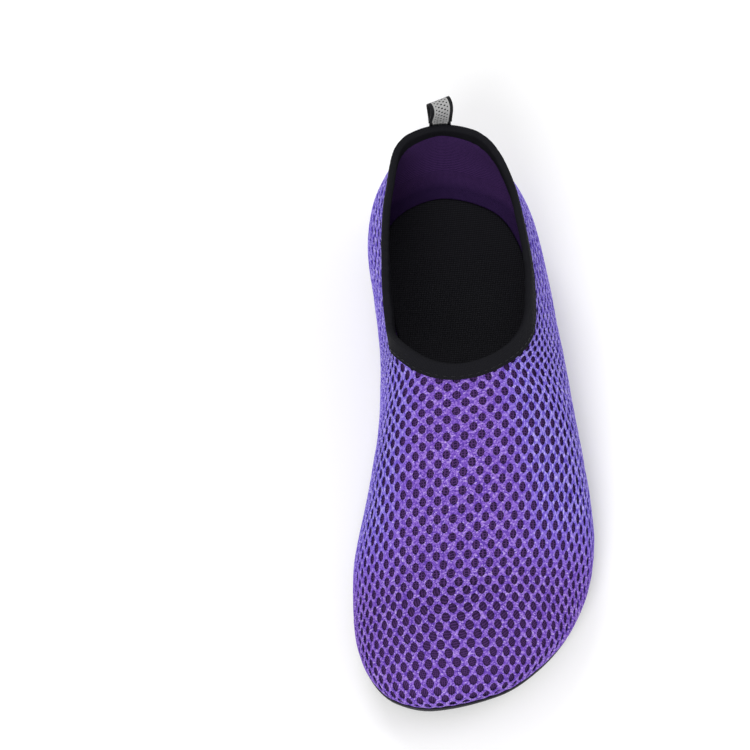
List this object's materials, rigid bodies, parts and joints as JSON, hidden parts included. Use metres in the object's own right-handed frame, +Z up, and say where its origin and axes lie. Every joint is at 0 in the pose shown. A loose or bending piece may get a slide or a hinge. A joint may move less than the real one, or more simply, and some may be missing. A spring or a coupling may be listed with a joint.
{
  "type": "water shoe",
  "caption": "Left slip-on water shoe: hollow large-hole mesh upper, folded elastic collar binding, heel tape with pull loop, insole and rubber sole with hexagon tread.",
  "frame": {"origin": "on the floor plane, under the middle of the shoe's bounding box", "axes": "+Z up, -Y towards the toe, +Y towards the heel, -X towards the big toe and arch side, +X towards the little toe side"},
  "size_m": [0.099, 0.247, 0.0778],
  "materials": {
    "upper_mesh": "knitted mesh yarn, violet, matte with a slight sheen",
    "outsole_rubber": "moulded rubber, satin",
    "insole_fabric": "matte textile over foam",
    "binding_elastic": "fine ribbed elastic tape, matte",
    "tape_webbing": "woven webbing, pale with dark edges"
  },
  "bodies": {
    "root": {"upper": "upper_mesh", "outsole": "outsole_rubber", "insole": "insole_fabric", "collar_binding": "binding_elastic", "heel_pull_loop": "tape_webbing"}
  },
  "joints": []
}
